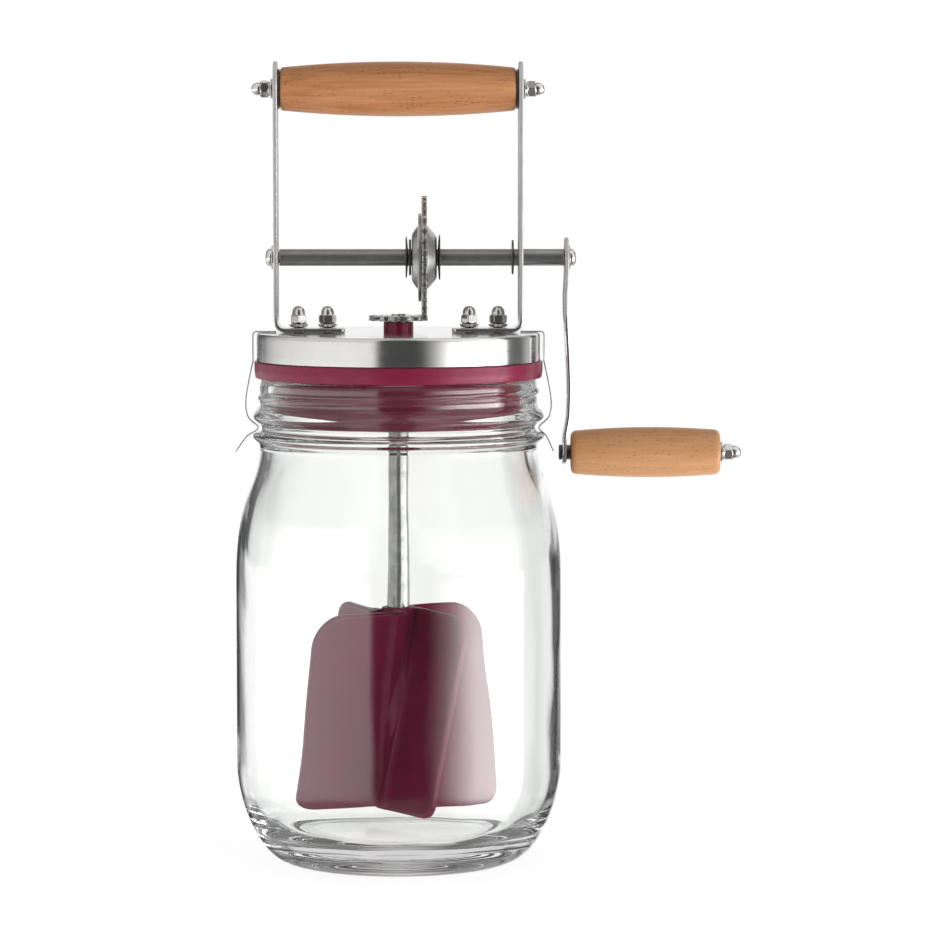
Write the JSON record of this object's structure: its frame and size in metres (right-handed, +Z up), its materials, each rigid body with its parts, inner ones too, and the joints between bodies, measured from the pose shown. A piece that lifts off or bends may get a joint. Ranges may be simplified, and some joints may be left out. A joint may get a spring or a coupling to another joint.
{
  "type": "butter churn",
  "caption": "Hand-cranked glass-jar butter churn: clipped steel lid with wooden carry handle, side crank, crossed gears, and a shaft with a bladed paddle inside the jar.",
  "frame": {"origin": "on the table plane, under the middle of the bounding box; the jar's axis is 31.9 mm towards -X", "axes": "+Z up along the jar's axis; +X towards the crank's knob; -Y is the front, seen in the picture"},
  "size_m": [0.1795, 0.1154, 0.2819],
  "materials": {
    "glass": "clear, fire-polished",
    "polished_steel": "polished",
    "dark_steel": "dark, satin",
    "spring_steel": "smooth",
    "maroon_plastic": "glossy",
    "maroon_rubber": "satin",
    "beech": "oiled"
  },
  "bodies": {
    "jar": {"glass_jar": "glass"},
    "lid": {"lid_cap": "polished_steel", "seal_ring": "maroon_rubber", "lid_plug": "maroon_plastic", "lid_bush": "maroon_plastic", "spring_clip_left": "spring_steel", "spring_clip_right": "spring_steel", "bracket_left": "polished_steel", "bracket_right": "polished_steel", "foot_bolt_1": "dark_steel", "foot_bolt_2": "dark_steel", "foot_bolt_3": "dark_steel", "foot_bolt_4": "dark_steel", "foot_washer_1": "polished_steel", "foot_washer_2": "polished_steel", "foot_washer_3": "polished_steel", "foot_washer_4": "polished_steel", "foot_nut_1": "polished_steel", "foot_nut_2": "polished_steel", "foot_nut_3": "polished_steel", "foot_nut_4": "polished_steel", "handle_grip": "beech", "handle_rod": "dark_steel", "handle_disc_left": "dark_steel", "handle_disc_right": "dark_steel", "handle_washer_left": "polished_steel", "handle_washer_right": "polished_steel", "handle_nut_left": "polished_steel", "handle_nut_right": "polished_steel"},
    "crank": {"axle": "dark_steel", "axle_cap": "polished_steel", "arm_cap": "polished_steel", "axle_clip": "dark_steel", "drive_gear": "dark_steel", "gear_backing_disc": "polished_steel", "gear_hub_left": "polished_steel", "gear_hub_right": "polished_steel", "hub_washer": "dark_steel", "hub_clip_left": "dark_steel", "hub_clip_right": "dark_steel", "crank_arm": "polished_steel", "knob_bolt": "dark_steel", "knob_spacer": "dark_steel", "knob_washer": "polished_steel", "knob_nut": "polished_steel"},
    "knob": {"crank_knob": "beech"},
    "dasher": {"dasher_shaft": "polished_steel", "pinion": "dark_steel", "shaft_circlip": "dark_steel", "paddle": "maroon_plastic"}
  },
  "joints": [
    {"name": "lid_lift", "type": "slide", "parent": "jar", "child": "lid", "axis": [0, 0, 1], "range_m": [0, 0.16], "deforming": ["spring_clip_left", "spring_clip_right"]},
    {"name": "crank_spin", "type": "hinge", "parent": "lid", "child": "crank", "pos_m": [0.0274, 0, 0.21325], "axis": [1, 0, 0], "continuous": true},
    {"name": "knob_spin", "type": "hinge", "parent": "crank", "child": "knob", "pos_m": [0.0555, 0, 0.14425], "axis": [1, 0, 0], "continuous": true},
    {"name": "dasher_spin", "type": "hinge", "parent": "lid", "child": "dasher", "pos_m": [-0.0319, 0, 0.18], "axis": [0, 0, 1], "continuous": true}
  ],
  "couplings": [
    {"joint": "dasher_spin", "follows": "crank_spin", "ratio": 2.3077}
  ]
}
